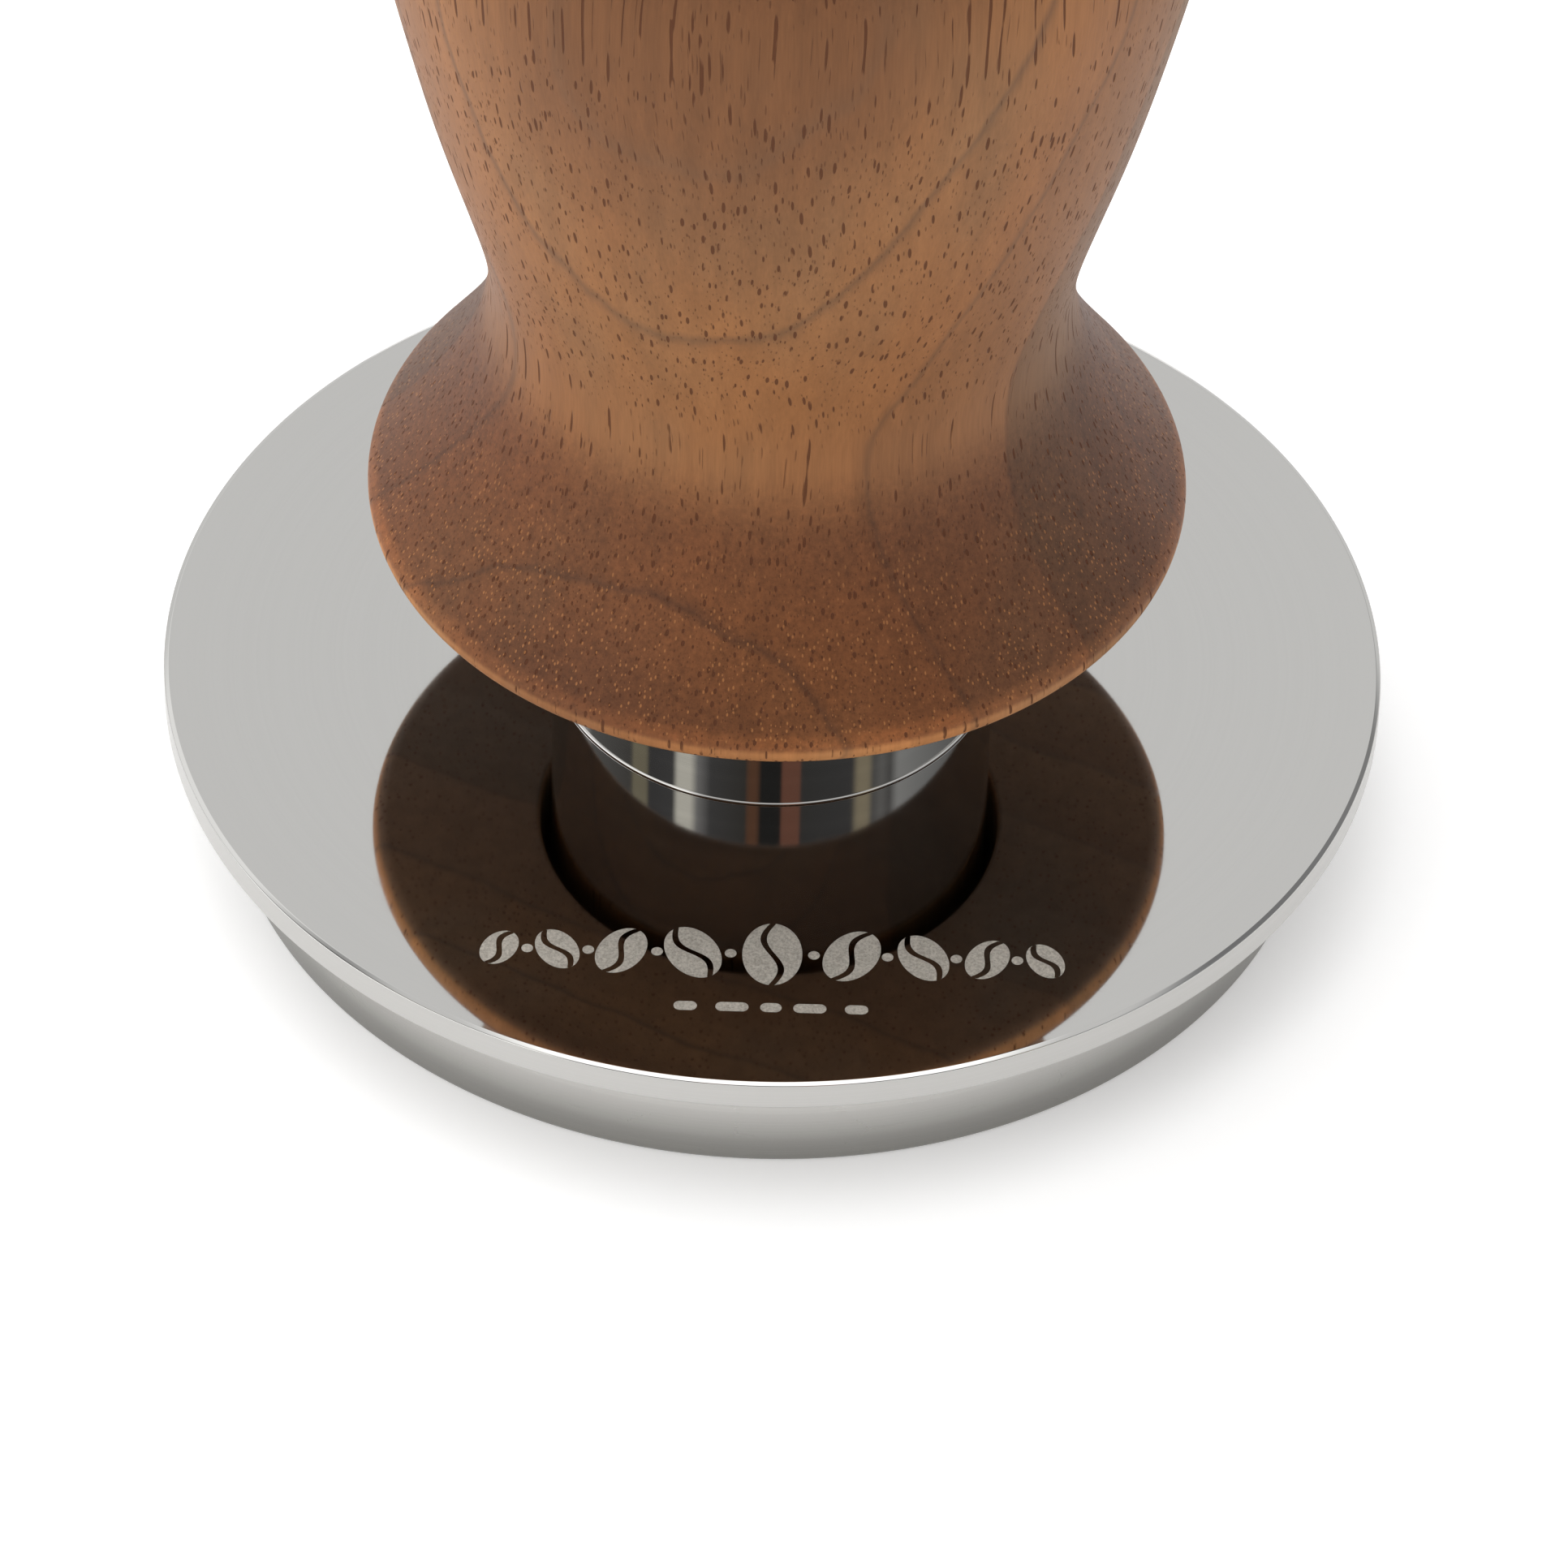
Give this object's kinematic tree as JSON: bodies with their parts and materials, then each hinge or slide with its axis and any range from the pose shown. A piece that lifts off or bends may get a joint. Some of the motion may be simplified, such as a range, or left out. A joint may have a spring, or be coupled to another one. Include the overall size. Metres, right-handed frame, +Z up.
{
  "type": "espresso tamper",
  "caption": "Self-levelling espresso tamper: turned walnut palm handle on a sprung steel post, with a polished levelling plate above a flat round puck.",
  "frame": {"origin": "centre of the flat round tamping face, on the surface that the tamper stands on", "axes": "+Z up the turning axis to the top of the handle; every piece is round about Z, and +X and +Y have no features of their own. The front of the plate, where its etched mark goes, faces -Y"},
  "size_m": [0.0648, 0.0648, 0.085],
  "materials": {
    "walnut": "turned walnut, oiled to a satin sheen, open pores and fine dark growth lines",
    "mirror_steel": "mirror-polished stainless steel with a satin turned edge",
    "sleeve_steel": "polished stainless steel with fine turning marks round it",
    "puck_steel": "finely turned stainless steel",
    "bright_steel": "bright machined steel",
    "dark_steel": "black-oxide steel",
    "spring_steel": "drawn spring wire",
    "aluminium": "plain machined aluminium",
    "bronze": "sintered bronze",
    "acetal": "natural acetal plastic",
    "rubber": "black nitrile rubber"
  },
  "bodies": {
    "base": {"tamping_base": "puck_steel", "base_o_ring": "rubber", "base_stud": "dark_steel", "guide_post": "bright_steel", "upper_guide_ring": "acetal", "post_snap_ring": "dark_steel", "travel_stop_tube": "bright_steel", "pressure_spring": "spring_steel", "levelling_spring": "spring_steel", "retaining_washer": "bright_steel", "lock_washer": "dark_steel", "retaining_screw": "dark_steel"},
    "plate_thrust": {"plate_thrust_washer": "bright_steel"},
    "leveller": {"levelling_plate": "mirror_steel", "plate_sleeve": "sleeve_steel", "sleeve_bush": "acetal"},
    "handle_thrust": {"handle_thrust_washer": "bright_steel"},
    "handle": {"wood_handle": "walnut", "handle_core": "aluminium", "core_bush": "bronze"}
  },
  "joints": [
    {"name": "plate_lift", "type": "slide", "parent": "base", "child": "plate_thrust", "axis": [0, 0, 1], "range_m": [0, 0.008], "stiffness_N_per_m": 800, "springref_m": -0.0075, "deforming": ["levelling_spring"]},
    {"name": "plate_turn", "type": "hinge", "parent": "plate_thrust", "child": "leveller", "pos_m": [0, 0, 0.0081], "axis": [0, 0, 1], "continuous": true},
    {"name": "handle_press", "type": "slide", "parent": "base", "child": "handle_thrust", "axis": [0, 0, -1], "range_m": [0, 0.0035], "stiffness_N_per_m": 9000, "springref_m": -0.0115, "deforming": ["pressure_spring"]},
    {"name": "handle_turn", "type": "hinge", "parent": "handle_thrust", "child": "handle", "pos_m": [0, 0, 0.0557], "axis": [0, 0, 1], "continuous": true}
  ]
}
